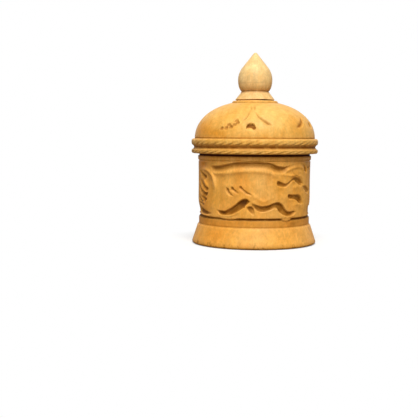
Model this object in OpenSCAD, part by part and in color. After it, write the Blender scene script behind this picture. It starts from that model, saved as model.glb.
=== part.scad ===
// Round wooden keepsake box, turned on a lathe and carved by hand.
// The pot has a flared foot and a carved frieze, the domed lid has two rope beads round its rim,
// and a turned knob is glued into the lid. The origin is the centre of the foot's underside.

/* [Pot] */
// Radius of the carved barrel
barrel_r = 23.8; // [23:0.1:25]
// Height of the pot's shoulder, where the lid rests
shoulder_z = 37; // [36:0.1:40]
// How far the foot stands out beyond the barrel
foot_flare = 2.4; // [1:0.1:3.5]
// Height of the flared foot
foot_h = 8.6; // [7:0.1:9.5]
// Width of the shoulder between the barrel and the spigot
shoulder_w = 3.3; // [2.5:0.1:4]
// Height of the spigot above the shoulder
spigot_h = 4; // [3:0.5:5]
// Thickness of the spigot's wall
spigot_wall = 3; // [2:0.1:4]
// Thickness of the pot's bottom
floor_t = 6; // [4:0.5:8]

/* [Lid] */
// How far the dome stands out beyond the barrel
dome_over = 1.5; // [1:0.1:2.5]
// Height of the dome above its widest circle
dome_h = 16.3; // [16.2:0.1:18]
// Thickness of the dome's wall at the socket
dome_wall = 5.9; // [5:0.1:8]
// Height of the hollow above the top of the socket
hollow_h = 10.6; // [6:0.2:10.8]
// Clearance all round between the spigot and the socket
socket_gap = 0.15; // [0.1:0.01:0.2]
// Height of the shadow gap between the shoulder and the ropes
rim_gap = 1.2; // [0.7:0.1:1.6]
// Radius of the small step that carries the knob
step_r = 9.6; // [9.4:0.1:10.2]

/* [Ropes] */
// How far the lower rope stands out
lower_rope_out = 1.55; // [1:0.05:2]
// How far the upper rope stands out
upper_rope_out = 1.65; // [1:0.05:2]
// Half the height of the lower rope
lower_rope_half = 1; // [0.8:0.05:1.2]
// Half the height of the upper rope
upper_rope_half = 1.2; // [1:0.05:1.3]
// Height from the lower rope to the upper rope
rope_pitch = 3.7; // [3.4:0.1:3.9]
// Number of strands round the lower rope
lower_strands = 40; // [36:2:48]
// Number of strands round the upper rope
upper_strands = 44; // [36:2:48]
// Depth of the cut between two strands
strand_cut = 0.45; // [0.2:0.05:0.6]

/* [Knob] */
// Radius of the knob's collar
collar_r = 8.5; // [7.5:0.1:9]
// Radius of the neck under the bud
neck_r = 5.8; // [5:0.1:6.2]
// Widest radius of the bud
bud_r = 7.2; // [6.8:0.1:8]
// Height of the bud's widest circle above the collar
bud_z = 8.7; // [8.2:0.1:9.5]
// Radius of the tenon that is glued into the lid
tenon_r = 3; // [2:0.1:3.5]
// Length of the tenon
tenon_l = 5; // [3:0.5:5]

/* [Carving] */
// Depth of a full cut of the frieze
frieze_cut = 1.1; // [0.7:0.05:1.2]
// Width of the flat bottom of a broad cut
scoop_w = 1; // [0.6:0.1:1.2]
// Depth of a full cut of the dome's ornament
dome_cut = 0.7; // [0.4:0.05:0.8]

/* [Hidden] */
$fn = 96;

// How far a cutting shape reaches past the surface that it opens
past = 1;

// The bands that the lathe left on the pot, from the foot up
foot_r = barrel_r + foot_flare;
foot_edge = 0.9;
foot_step = 0.7;
foot_lip = 0.1;
band_drop = 0.5;
band_h = 3.6;
frieze_low = foot_h + band_h;
line_w = 0.4;
line_d = 0.8;
rail_h = 1.9;
frieze_top = shoulder_z - rail_h;
spigot_r = barrel_r - shoulder_w;
spigot_top = shoulder_z + spigot_h;
spigot_edge = 0.5;
cavity_r = spigot_r - spigot_wall;
cavity_fillet = 3;

// The rim of the lid: a narrow ring rests on the pot, and the ropes stand out over a shadow gap
contact_in = 0.5;
contact_r = barrel_r - contact_in;
rim_z = shoulder_z + rim_gap;
dome_r = barrel_r + dome_over;
rope_in = 0.2;
rope_core_r = dome_r - rope_in;
lower_rope_z = rim_z + lower_rope_half;
upper_rope_z = lower_rope_z + rope_pitch;
socket_r = spigot_r + socket_gap;
socket_room = 0.4;
socket_top = spigot_top + socket_room;
hollow_r = dome_r - dome_wall;

// A strand runs this far round the lid while it climbs over its rope, and the rope is rooted this deep
strand_run = 7;
rope_root = 1.3;

// The dome, from its widest circle to the step under the knob
dome_rise = 0.7;
dome_z = upper_rope_z + dome_rise;
dome_foot_z = dome_z + dome_rise;
dome_power = 2.2;
step_h = 1;
step_edge = 0.4;
crown_cut = 0.1;
step_z = dome_z + dome_h - crown_cut;

// The knob, in heights above its collar
knob_h = 20.1;
neck_z = 3.7;
collar_edge = 0.3;
tip_r = 1;
glue_gap = 0.05;
bore_depth = tenon_l + 0.2;

// Points along arcs and curves
function ellipse_arc(x, y, a, b, from, to, steps) =
    [for (i = [0:steps]) let (t = from + (to - from) * i / steps) [x + a * cos(t), y + b * sin(t)]];
function dome_out(z) = dome_r * pow(1 - pow(max(0, (z - dome_z) / dome_h), dome_power), 1 / dome_power);

// A smooth curve through a few hand-placed points, each [around, up, depth, width]
smooth_steps = 2;
function curve_at(p, q, r, s, t) =
    0.5 * (2 * q + (r - p) * t + (2 * p - 5 * q + 4 * r - s) * t * t + (3 * q - p - 3 * r + s) * t * t * t);
function smooth(pts) = let (last = len(pts) - 1) [
    for (i = [0:last - 1], k = [0:smooth_steps - 1])
        curve_at(pts[max(i - 1, 0)], pts[i], pts[i + 1], pts[min(i + 2, last)], k / smooth_steps),
    pts[last]
];

// Where a point of the frieze or the dome lies in space, and which way the surface faces there
function barrel_z(share) = frieze_low + (frieze_top - frieze_low) * share / 100;
function barrel_point(p) = [barrel_r * sin(p[0]), -barrel_r * cos(p[0]), barrel_z(p[1])];
function barrel_normal(p) = [sin(p[0]), -cos(p[0]), 0];
function dome_level(share) = dome_z + dome_h * share / 100;
function dome_at(share) = dome_out(dome_level(share));
function dome_point(p) = [dome_at(p[1]) * sin(p[0]), -dome_at(p[1]) * cos(p[0]), dome_level(p[1])];
function dome_normal(p) = let (
    out = pow(dome_at(p[1]) / dome_r, dome_power - 1) / dome_r,
    up = pow(p[1] / 100, dome_power - 1) / dome_h,
    size = norm([out, up])
) [out / size * sin(p[0]), -out / size * cos(p[0]), up / size];

// One cut of a gouge, drawn the way the tool went. Its left wall is steep, its bottom is flat and as wide
// as widths say, and its right wall slopes. The cut stands a little proud of the surface, and its two ends
// run out just above it.
lift = 0.5;
run_out = 0.07;
narrow = 0.1;
module gouge(points, normals, depths, widths, left, right) {
    last = len(points) - 1;
    sections = [for (i = [0:last]) let (
        ahead = points[min(i + 1, last)] - points[max(i - 1, 0)],
        across = cross(normals[i], ahead),
        side = across / norm(across),
        reach = depths[i] + lift,
        wide = max(widths[i], narrow)
    ) [
        points[i] + side * left * reach + normals[i] * lift,
        points[i] - normals[i] * depths[i],
        points[i] - side * wide - normals[i] * depths[i],
        points[i] - side * (wide + right * reach) + normals[i] * lift
    ]];
    walls = [for (i = [0:last - 1], k = [0:3]) let (a = 4 * i + k, b = 4 * i + (k + 1) % 4)
        each [[a, b + 4, a + 4], [a, b, b + 4]]
    ];
    end = 4 * last;
    caps = [[2, 1, 0], [3, 2, 0], [end, end + 1, end + 2], [end, end + 2, end + 3]];
    polyhedron([for (s = sections) each s], concat(walls, caps));
}

module cut_frieze(pts, left, right) {
    path = smooth(pts);
    depths = [for (p = path) p[2] * (frieze_cut + run_out) - run_out];
    widths = [for (p = path) p[3] * scoop_w];
    points = [for (p = path) barrel_point(p)];
    gouge(points, [for (p = path) barrel_normal(p)], depths, widths, left, right);
}

module cut_dome(pts, left, right) {
    path = smooth(pts);
    depths = [for (p = path) p[2] * (dome_cut + run_out) - run_out];
    points = [for (p = path) dome_point(p)];
    gouge(points, [for (p = path) dome_normal(p)], depths, [for (p = path) 0], left, right);
}

// The walking beast, one on each side of the barrel, with its head to the left. Each cut is a row of
// [degrees around, percent up the frieze, share of frieze_cut, share of scoop_w].
back = [
    [[-48, 90.4, 0, 0.2], [-44.5, 89.5, 0.8, 0.5], [-39.5, 89.5, 1, 0.8], [-34, 90.8, 1, 0.8],
     [-28, 93, 0.9, 0.8], [-20, 96, 0.9, 0.9], [-13, 98, 0.9, 1.1], [-3, 99, 0.9, 1.2],
     [7, 98.5, 0.9, 1.2], [13.5, 96.5, 0.9, 1], [18, 94, 1, 0.9], [22, 90.8, 1, 0.9],
     [26, 89.1, 1, 0.8], [30, 88.6, 0.9, 0.6], [33.5, 90.4, 0.6, 0.4],
     [39, 93, 0.4, 0.3], [46, 95.2, 0, 0.2]],
    [[56.5, 95.2, 0, 0.1], [60, 90.8, 0.5, 0.3], [63, 84.7, 0.7, 0.4], [64.5, 77.7, 0, 0.1]],
    [[66, 90, 0, 0.1], [71, 88.2, 0.7, 0.3], [76, 89.1, 0, 0.1]],
    [[38.5, 86, 0, 0.1], [41, 80, 0.35, 0.3], [44.5, 75.8, 0.4, 0.3], [49, 77, 0.35, 0.2],
     [53, 81.5, 0, 0.1]]
];
head = [
    [[-72, 83, 0, 0.1], [-66, 78.6, 0.6, 0.3], [-58.5, 72.9, 1, 0.6], [-54.5, 72.9, 0, 0.1]],
    [[-68.5, 66.4, 0, 0.1], [-64, 60.7, 0.7, 0.3], [-59, 54.1, 0.7, 0.4], [-54.5, 50.7, 0.8, 0.4],
     [-51.5, 50.7, 0, 0.1]],
    [[-74.5, 55, 0, 0.1], [-70, 51.5, 0.7, 0.3], [-64, 45.4, 0.8, 0.4], [-57.5, 41.5, 1, 0.5],
     [-51.5, 43.2, 0, 0.1]],
    [[-67, 36.2, 0, 0.1], [-62.5, 34.1, 0.6, 0.2], [-58, 31.9, 0.9, 0.5], [-53.5, 32.3, 0, 0.1]],
    [[-73, 34.9, 0, 0.1], [-69, 31, 0.6, 0.2], [-64.5, 27.9, 0.5, 0.2], [-60, 27.1, 0, 0.1]],
    [[-72, 22.3, 0, 0.1], [-67.5, 24, 0.5, 0.2], [-62, 21.8, 0.5, 0.2], [-58, 22.7, 0, 0.1]],
    [[-75, 71.6, 0, 0.1], [-72.5, 64.2, 0.6, 0.4], [-74.5, 58.5, 0, 0.1]]
];
shoulder = [
    [[-28.5, 55, 0, 0.1], [-26.5, 51.5, 0.8, 0.2], [-25, 46.3, 0.7, 0.3], [-22.5, 41.9, 0.5, 0.2],
     [-20, 39.3, 0, 0.1]],
    [[-23, 55.5, 0, 0.1], [-21.5, 53.7, 0.9, 0.3], [-19.5, 50.2, 0.6, 0.2], [-16.5, 46.3, 0.4, 0.2],
     [-14, 42.8, 0, 0.1]],
    [[-14.5, 57.2, 0, 0.1], [-13, 55.5, 0.8, 0.2], [-10.5, 51.1, 0.6, 0.2], [-6.5, 45.9, 0.6, 0.2],
     [-3.5, 43.2, 0.4, 0.1], [-1, 41, 0, 0.1]]
];
legs = [
    [[-77, 19.2, 0, 0.2], [-71, 15.3, 0.8, 0.8], [-64, 12.2, 1, 0.8], [-54, 8.3, 0.7, 0.4],
     [-45.5, 6.6, 0, 0.1]],
    [[-37, 13.1, 0, 0.3], [-33.5, 11.8, 0.6, 0.6], [-29.5, 11.4, 0.9, 0.8], [-25, 15.3, 1.1, 1.2],
     [-19.5, 21.4, 1.2, 1.4], [-14.5, 28.8, 1.3, 1.7], [-11, 32.8, 1.3, 1.8], [-7.5, 33.6, 1.3, 1.5],
     [-5, 31.4, 0.6, 0.8], [-4, 29.7, 0, 0.3]],
    [[0.5, 6.5, 0, 0.2], [-2, 10, 0.7, 0.8], [-4.2, 14.5, 0.9, 1], [-6, 18.3, 0.7, 0.7],
     [-7.2, 21.5, 0, 0.2]],
    [[73, 17, 0, 0.2], [77.5, 17.5, 0.8, 1.2], [83, 16.5, 1, 2], [90, 15.5, 1, 2], [96.5, 14, 0, 0.4]]
];
belly = [
    [[-2, 28.8, 0, 0.2], [0, 24.9, 0.6, 0.4], [3.5, 22.3, 0.9, 0.7], [7, 20.5, 1, 0.9], [11, 21, 1, 0.9],
     [14.5, 23.1, 1, 0.8], [18.5, 26.2, 1, 0.9], [21.5, 27.9, 1.1, 1.2], [25, 27.9, 1.2, 1.5],
     [28, 24.5, 1.2, 1.7], [30.5, 18.3, 1.2, 1.5], [33.3, 12.7, 1.1, 1], [37.5, 10.9, 0.9, 0.7],
     [42, 11.4, 0.6, 0.5], [45.5, 11.8, 0, 0.2]]
];
rump = [
    [[23, 65.5, 0, 0.2], [24.5, 64.2, 0.9, 0.6], [27.5, 62, 0.9, 0.6], [32, 59.8, 0.7, 0.4],
     [35.5, 62.4, 0.5, 0.3], [39.5, 68.1, 0.6, 0.4], [43, 70.7, 0.9, 0.7], [46.5, 70.7, 1, 1.2],
     [51, 68.1, 1, 1.3], [54.2, 62.9, 0.9, 0.9], [57, 59, 0, 0.3]],
    [[54.5, 57.2, 0, 0.2], [58.5, 55, 0.8, 0.8], [63.5, 53.7, 1, 1.4], [68.5, 48.9, 1, 1.2],
     [73.5, 45.4, 0, 0.2]],
    [[35, 41.5, 0, 0.2], [37, 40.6, 0.9, 0.6], [42, 39.7, 0.8, 0.8], [47, 39.7, 0.9, 1.2],
     [51, 37.6, 1, 1.3], [53.5, 32.3, 1, 1.2], [55.5, 27.1, 0.6, 0.6], [56.5, 24.5, 0, 0.2]],
    [[75.5, 62, 0, 0.1], [80.5, 52.4, 0.8, 0.6], [81.5, 38.4, 0.8, 0.8], [78.5, 26.2, 0.8, 0.6],
     [79, 19.2, 0, 0.1]]
];
ear = [
    [[-42.5, 55.9, 0, 0.1], [-43, 65.1, 0.5, 0.2], [-44.5, 72.9, 0.55, 0.2], [-47, 78.2, 0.5, 0.2],
     [-52.5, 82.1, 0, 0.1]]
];

// How far the two walls of a cut reach sideways for each millimetre of its depth
steep_wall = 0.35;
back_wall = 1.3;
fine_wall = 0.9;
body_wall = 1;
leg_wall = 1.1;
ear_walls = [1.8, 5];
dome_walls = [0.5, 1.2];

module frieze() {
    for (cut = back) cut_frieze(cut, steep_wall, back_wall);
    for (cut = concat(head, shoulder)) cut_frieze(cut, steep_wall, fine_wall);
    for (cut = rump) cut_frieze(cut, steep_wall, body_wall);
    for (cut = concat(legs, belly)) cut_frieze(cut, steep_wall, leg_wall);
    for (cut = ear) cut_frieze(cut, ear_walls[0], ear_walls[1]);
}

// The dome's ornament, cut twice. Each cut is a row of
// [degrees around, percent up the dome, share of dome_cut].
petals = [
    [[0, 70.7, 0], [2.5, 62.5, 0.3], [5, 55.5, 0.4], [9.5, 47.1, 0.7], [13.5, 39.6, 0.7], [18.5, 34.1, 0]],
    [[-5.5, 71.8, 0], [-8, 61.6, 0.25], [-10.5, 51.5, 0.3], [-14.5, 43.6, 0]],
    [[58.5, 58.8, 0], [57, 50.6, 0.6], [54, 42.3, 0.8], [48, 34.1, 0.5], [43, 30, 0]],
    [[76, 41.7, 0], [73, 38.5, 0.8], [70.5, 35, 0.8], [68, 30, 0]],
    [[-61.5, 47, 0], [-62.3, 43, 0.3], [-63.2, 37, 0.3], [-64.5, 30.6, 0]],
    [[-6.5, 87.9, 0], [-4.7, 81, 0.3], [-4.6, 76, 0.3], [-5, 71.8, 0]],
    [[-0.5, 86.8, 0], [-0.1, 81, 0.25], [0.1, 76, 0.25], [0, 70.7, 0]]
];

// A row of small thumbnail cuts and one large one, as [degrees around, percent up the dome]
notches = [
    [-34, 29], [-31, 29.5], [-27.5, 30.5], [-24.5, 32.5], [-21.5, 36], [-18.5, 37], [-17, 43]
];
notch_r = 0.7;
notch_lean = 28;
moon = [-3.5, 28.2];
moon_r = 1.95;
moon_lean = 24;

// The thumbnail cut of a round gouge: a leaning cylinder, deepest at its upper edge. Its middle lies under
// the surface too, by this share of what its edge drops.
thumb_sink = 0.56;
module thumb_cut(p, r, lean) {
    n = dome_normal(p);
    tilt = atan2(norm([n[0], n[1]]), n[2]) - lean;
    middle = dome_point(p) - n * thumb_sink * r * sin(lean);
    translate(middle) rotate([0, 0, p[0] - 90]) rotate([0, tilt, 0]) cylinder(r = r, h = 2 * r);
}

module dome_ornament() {
    for (cut = petals) cut_dome(cut, dome_walls[0], dome_walls[1]);
    for (p = notches) thumb_cut(p, notch_r, notch_lean);
    thumb_cut(moon, moon_r, moon_lean);
}

// One rope bead as a closed ring: its strands lean to the right as they climb, with a cut between them
module rope(strands, out, half, z) {
    strand_form = [1, 0.3, 0, 0.3];
    rows = 6;
    ring = rows + 2;
    columns = strands * len(strand_form);
    open_angle = 75;
    inner_r = rope_core_r - rope_root;
    lean = strand_run / (rope_core_r + out) * 180 / PI;
    top = half * sin(open_angle);
    points = [for (j = [0:columns - 1], i = [0:ring - 1]) let (
        t = i < rows ? -open_angle + 2 * open_angle * i / (rows - 1) : 0,
        fall = strand_cut * strand_form[j % len(strand_form)] * cos(t),
        r = i < rows ? rope_core_r + out * cos(t) - fall : inner_r,
        h = i < rows ? half * sin(t) : (i == rows ? top : -top),
        a = 360 * j / columns + lean * h / (2 * top)
    ) [r * sin(a), -r * cos(a), z + h]];
    polyhedron(points, [
        for (j = [0:columns - 1], i = [0:ring - 1]) let (
            a = j * ring + i,
            b = j * ring + (i + 1) % ring,
            c = ((j + 1) % columns) * ring + (i + 1) % ring,
            d = ((j + 1) % columns) * ring + i
        ) each [[a, b, c], [a, c, d]]
    ]);
}

module pot_outline() {
    band_r = barrel_r - band_drop;
    polygon([
        [0, 0], [foot_r - foot_edge, 0], [foot_r - foot_edge / 4, foot_edge / 3], [foot_r, foot_edge],
        [barrel_r + foot_lip, foot_h - foot_step], [band_r, foot_h], [band_r, frieze_low - line_w],
        [barrel_r - line_d, frieze_low], [barrel_r, frieze_low + line_w],
        [barrel_r, frieze_top - line_w], [barrel_r - line_d, frieze_top], [barrel_r, frieze_top + line_w],
        [barrel_r, shoulder_z], [spigot_r, shoulder_z],
        [spigot_r, spigot_top - spigot_edge], [spigot_r - spigot_edge, spigot_top], [0, spigot_top]
    ]);
}

module cavity_outline() {
    f = cavity_fillet;
    polygon(concat(
        [[0, floor_t]],
        ellipse_arc(cavity_r - f, floor_t + f, f, f, -90, 0, 6),
        [[cavity_r, spigot_top - spigot_edge], [cavity_r + spigot_edge, spigot_top]],
        [[cavity_r + spigot_edge, spigot_top + past], [0, spigot_top + past]]
    ));
}

module pot() {
    color("#e0a04a")
    difference() {
        rotate_extrude() difference() {
            pot_outline();
            cavity_outline();
        }
        for (turn = [0, 180]) rotate(turn) frieze();
    }
}

module lid_outline() {
    dome_steps = 14;
    dome_top = step_z - step_h;
    polygon(concat(
        [[0, shoulder_z], [contact_r, shoulder_z], [contact_r, rim_z], [rope_core_r, rim_z]],
        [[rope_core_r, dome_foot_z]],
        [for (i = [0:dome_steps]) let (z = dome_foot_z + (dome_top - dome_foot_z) * sin(90 * i / dome_steps))
            [dome_out(z), z]],
        [[step_r, dome_top], [step_r, step_z - step_edge], [step_r - step_edge, step_z], [0, step_z]]
    ));
}

module hollow_outline() {
    polygon(concat(
        [[0, shoulder_z - past], [socket_r, shoulder_z - past], [socket_r, socket_top]],
        ellipse_arc(0, socket_top, hollow_r, hollow_h, 0, 90, 10)
    ));
}

module lid() {
    color("#e8ab55")
    difference() {
        union() {
            rotate_extrude() lid_outline();
            rope(lower_strands, lower_rope_out, lower_rope_half, lower_rope_z);
            rope(upper_strands, upper_rope_out, upper_rope_half, upper_rope_z);
        }
        rotate_extrude() hollow_outline();
        for (turn = [0, 180]) rotate(turn) dome_ornament();
        translate([0, 0, step_z - bore_depth]) cylinder(r = tenon_r + glue_gap, h = bore_depth + past);
    }
}

module knob_outline() {
    bud_side = 2.3;
    bud_start = -70;
    bud_shoulder = 8.5;
    tip_slope = 38.8;
    polygon(concat(
        [[0, 0], [collar_r, 0], [collar_r, collar_edge], [neck_r, neck_z]],
        ellipse_arc(bud_r - bud_side, bud_z, bud_side, bud_z - neck_z, bud_start, 0, 6),
        ellipse_arc(bud_r - bud_shoulder, bud_z, bud_shoulder, bud_shoulder, tip_slope / 6, tip_slope, 5),
        ellipse_arc(0, knob_h - tip_r, tip_r, tip_r, tip_slope, 90, 4)
    ));
}

module knob() {
    color("#f0c07a")
    translate([0, 0, step_z]) {
        rotate_extrude() knob_outline();
        translate([0, 0, -tenon_l]) cylinder(r = tenon_r, h = tenon_l + collar_edge);
    }
}

pot();
lid();
knob();
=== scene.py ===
import math

import bpy
import numpy as np
from mathutils import Matrix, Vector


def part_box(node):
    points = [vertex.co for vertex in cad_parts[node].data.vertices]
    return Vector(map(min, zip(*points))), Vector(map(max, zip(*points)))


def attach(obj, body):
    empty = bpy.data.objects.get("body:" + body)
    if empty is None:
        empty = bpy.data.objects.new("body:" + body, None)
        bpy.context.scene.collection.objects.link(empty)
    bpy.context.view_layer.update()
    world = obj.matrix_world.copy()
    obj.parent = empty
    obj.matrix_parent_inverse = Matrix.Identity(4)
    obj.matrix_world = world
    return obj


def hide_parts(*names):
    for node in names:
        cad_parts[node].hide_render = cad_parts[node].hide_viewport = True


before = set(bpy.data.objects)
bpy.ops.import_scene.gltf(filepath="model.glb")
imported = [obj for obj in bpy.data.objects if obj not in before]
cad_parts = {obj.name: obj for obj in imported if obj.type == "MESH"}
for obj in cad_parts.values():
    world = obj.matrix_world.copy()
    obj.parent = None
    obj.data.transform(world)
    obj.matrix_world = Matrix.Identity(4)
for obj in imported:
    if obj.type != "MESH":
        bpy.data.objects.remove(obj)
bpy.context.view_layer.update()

MM = 0.001

# Driving sizes in millimetres, read from the frame
pot_high = [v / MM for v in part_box("pot")[1]]
lid_low = [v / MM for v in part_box("lid")[0]]
lid_high = [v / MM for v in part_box("lid")[1]]
knob_low = [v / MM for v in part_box("knob")[0]]
knob_high = [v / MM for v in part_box("knob")[1]]
FOOT_R = pot_high[0]
SPIGOT_TOP = pot_high[2]
SHOULDER_Z = lid_low[2]
STEP_Z = lid_high[2]
KNOB_TOP = knob_high[2]
COLLAR_R = knob_high[0]

# The pot's other sizes in millimetres
FOOT_EDGE = 0.9
FOOT_H = 8.6
FOOT_STEP = 0.7
BARREL_R = 23.8
BAND_R = BARREL_R - 0.5
FRIEZE_LOW = 12.2
FRIEZE_TOP = SHOULDER_Z - 1.9
LINE_W = 0.65
LINE_D = 0.9
LINE_Z = FRIEZE_LOW - 0.4
RAIL_W = 0.4
RAIL_D = 0.35
CAVITY_R = 17.5
FLOOR_T = 6
SPIGOT_R = 20.5
SPIGOT_EDGE = 0.5
CAVITY_FILLET = 3

# The lid's other sizes in millimetres, and the powers that make its ropes and its dome fuller
CONTACT_R = BARREL_R - 0.5
RIM_Z = SHOULDER_Z + 0.87
DOME_R = 25.3
ROPE_CORE_R = DOME_R - 0.2
GROOVE_R = ROPE_CORE_R + 0.35
LOWER_ROPE_HALF = 0.97
UPPER_ROPE_HALF = 1.4
LOWER_ROPE_Z = RIM_Z + LOWER_ROPE_HALF
UPPER_ROPE_Z = LOWER_ROPE_Z + 3.82
LOWER_ROPE_R = ROPE_CORE_R + 1.5
UPPER_ROPE_R = ROPE_CORE_R + 1.55
ROPE_FULLNESS = 3
SOCKET_R = SPIGOT_R + 0.15
SOCKET_TOP = SPIGOT_TOP + 0.4
HOLLOW_R = 19.4
HOLLOW_H = 10.6
DOME_H = 16.3
DOME_Z = SHOULDER_Z + 6.6
DOME_FOOT_Z = DOME_Z + 0.7
DOME_POWER = 2.2
STEP_R = 9.6
STEP_H = 1
STEP_EDGE = 0.4

# The strands of the ropes: how many, how deep the cuts between them go, how far one runs round the lid
# within so many degrees below and above the rope's middle, and how much the cuts differ in place and depth
LOWER_STRANDS = 40
UPPER_STRANDS = 44
STRAND_CUT = 0.45
STRAND_RUN = 7
STRAND_SPAN = 75
STRAND_SHIFT = 0.1
STRAND_DEPTHS = (0.45, 1.1)
STRAND_SEED = 7

# The knob's other sizes in millimetres, and two angles in degrees
NECK_R = 5.8
NECK_Z = 3.7
COLLAR_GAP = 0.5
BUD_R = 7.2
BUD_Z = 8.7
BUD_SIDE = 2.3
BUD_START = -70
BUD_SHOULDER = 8.5
GROWTH_LINE_Z = 7.3
TIP_SLOPE = 38.8
TIP_R = 1
TENON_R = 3
TENON_L = STEP_Z - knob_low[2]

# Fineness of the meshes: points round the plain parts, how many times as many go round the carved ones, and
# rows of points up the frieze
POT_COLUMNS = 200
LID_COLUMNS = 200
KNOB_COLUMNS = 160
FINER = 4
FRIEZE_ROWS = 85

# The strokes that carve one side of the barrel, near those of the part: [degrees around, percent up the
# frieze, share of the common depth, width of the floor in mm]
FRIEZE_START = -80
FRIEZE_CUT = 0.9
BACK = [
    [[-48, 90.4, 0, 0.2], [-44.5, 89.5, 0.8, 0.5], [-39.5, 89.5, 1, 0.8], [-34, 90.8, 1, 0.8],
     [-28, 93, 0.9, 0.8], [-20, 96, 0.9, 0.9], [-13, 98, 0.9, 1.1], [-3, 99, 0.9, 1.2],
     [7, 98.5, 0.9, 1.2], [13.5, 96.5, 0.9, 1], [18, 94, 1, 0.9], [22, 90.8, 1, 0.9],
     [26, 89.1, 1, 0.8], [30, 88.6, 0.9, 0.6], [33.5, 90.4, 0.5, 0.4], [39, 93, 0.15, 0.3],
     [46, 95.2, 0, 0.2]],
    [[56.5, 95.2, 0, 0.1], [60, 90.8, 0.5, 0.3], [63, 84.7, 0.7, 0.4], [64.5, 77.7, 0, 0.1]],
    [[66, 90, 0, 0.1], [71, 88.2, 0.7, 0.3], [76, 89.1, 0, 0.1]],
    [[38.5, 86, 0, 0.1], [41, 80, 0.15, 0.3], [44.5, 75.8, 0.2, 0.3], [49, 77, 0.15, 0.2],
     [53, 81.5, 0, 0.1]],
]
HEAD = [
    [[-72, 83, 0, 0.1], [-66, 78.6, 0.6, 0.3], [-58.5, 72.9, 1, 0.6], [-54.5, 72.9, 0, 0.1]],
    [[-68.5, 66.4, 0, 0.1], [-64, 60.7, 0.7, 0.3], [-59, 54.1, 0.7, 0.4], [-54.5, 50.7, 0.8, 0.4],
     [-51.5, 50.7, 0, 0.1]],
    [[-74.5, 55, 0, 0.1], [-70, 51.5, 0.7, 0.3], [-64, 45.4, 0.8, 0.4], [-57.5, 41.5, 1, 0.5],
     [-51.5, 43.2, 0, 0.1]],
    [[-67, 36.2, 0, 0.1], [-62.5, 34.1, 0.6, 0.2], [-58, 31.9, 0.9, 0.5], [-53.5, 32.3, 0, 0.1]],
    [[-73, 34.9, 0, 0.1], [-69, 31, 0.6, 0.2], [-64.5, 27.9, 0.5, 0.2], [-60, 27.1, 0, 0.1]],
    [[-72, 22.3, 0, 0.1], [-67.5, 24, 0.5, 0.2], [-62, 21.8, 0.5, 0.2], [-58, 22.7, 0, 0.1]],
    [[-75, 71.6, 0, 0.1], [-72.5, 64.2, 0.6, 0.4], [-74.5, 58.5, 0, 0.1]],
]
SHOULDER = [
    [[-28.5, 55, 0, 0.1], [-26.5, 51.5, 0.8, 0.2], [-25, 46.3, 0.7, 0.3], [-22.5, 41.9, 0.5, 0.2],
     [-20, 39.3, 0, 0.1]],
    [[-23, 55.5, 0, 0.1], [-21.5, 53.7, 0.9, 0.3], [-19.5, 50.2, 0.6, 0.2], [-16.5, 46.3, 0.4, 0.2],
     [-14, 42.8, 0, 0.1]],
    [[-14.5, 57.2, 0, 0.1], [-13, 55.5, 0.8, 0.2], [-10.5, 51.1, 0.6, 0.2], [-6.5, 45.9, 0.6, 0.2],
     [-3.5, 43.2, 0.4, 0.1], [-1, 41, 0, 0.1]],
]
LEGS = [
    [[-77, 19.2, 0, 0.2], [-71, 15.3, 0.8, 0.8], [-64, 12.2, 1, 0.8], [-54, 8.3, 0.7, 0.4],
     [-45.5, 6.6, 0, 0.1]],
    [[-37.5, 13.3, 0.2, 0.3], [-34.5, 11.5, 0.9, 0.3], [-29.5, 10.8, 1, 0.4], [-25, 14.2, 1.1, 0.9],
     [-19.5, 20.2, 1.2, 1.1], [-14.5, 27.5, 1.3, 1.4], [-11, 31.6, 1.4, 1.5], [-7.5, 32.4, 1.4, 1.3],
     [-5, 30.4, 0.7, 0.8], [-4, 28.9, 0, 0.3]],
    [[0.5, 6.5, 0, 0.2], [-2, 10, 0.7, 0.8], [-4.2, 14.5, 0.9, 1], [-6, 18.3, 0.7, 0.7],
     [-7.2, 21.5, 0, 0.2]],
    [[73, 17, 0, 0.2], [77.5, 17.5, 0.8, 1.2], [83, 16.5, 1, 2], [90, 15.5, 1, 2], [96.5, 14, 0, 0.4]],
]
BELLY = [
    [[-2, 28.8, 0, 0.2], [0, 24.9, 0.6, 0.4], [3.5, 22.3, 0.9, 0.7], [7, 20.5, 1, 0.9], [11, 21, 1, 0.9],
     [14.5, 22.3, 1, 0.7], [18.5, 25.2, 1, 0.7], [21.5, 26.7, 1, 1], [25, 26.7, 1.1, 1.3],
     [28, 23.4, 1.1, 1.5], [30.5, 17.3, 1.1, 1.3], [33.3, 12, 1, 0.8], [37.5, 10.4, 0.9, 0.6],
     [42, 11.4, 0.6, 0.5], [45.5, 11.8, 0, 0.2]],
]
RUMP = [
    [[23, 65.5, 0, 0.2], [24.5, 64.2, 0.9, 0.6], [27.5, 62, 0.9, 0.6], [32, 59.8, 0.7, 0.4],
     [35.5, 62.4, 0.4, 0.3], [39.5, 67.7, 0.4, 0.3], [43, 70.3, 0.6, 0.5], [46.5, 70.3, 0.75, 1],
     [51, 67.7, 0.85, 1.2], [54.2, 62.5, 0.8, 0.9], [57, 59, 0, 0.3]],
    [[54.5, 57.2, 0, 0.2], [58.5, 55, 0.3, 0.8], [63.5, 53.7, 0.5, 1.4], [68.5, 48.9, 0.5, 1.2],
     [73.5, 45.4, 0, 0.2]],
    [[35, 41.5, 0, 0.2], [37, 40.6, 0.9, 0.6], [42, 39.7, 0.8, 0.8], [47, 39.7, 0.9, 1.2],
     [51, 37.6, 1, 1.3], [53.5, 32.3, 1, 1.2], [55.5, 27.1, 0.6, 0.6], [56.5, 24.5, 0, 0.2]],
    [[75.5, 62, 0, 0.1], [80.5, 52.4, 0.8, 0.6], [81.5, 38.4, 0.8, 0.8], [78.5, 26.2, 0.8, 0.6],
     [79, 19.2, 0, 0.1]],
]
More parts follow.
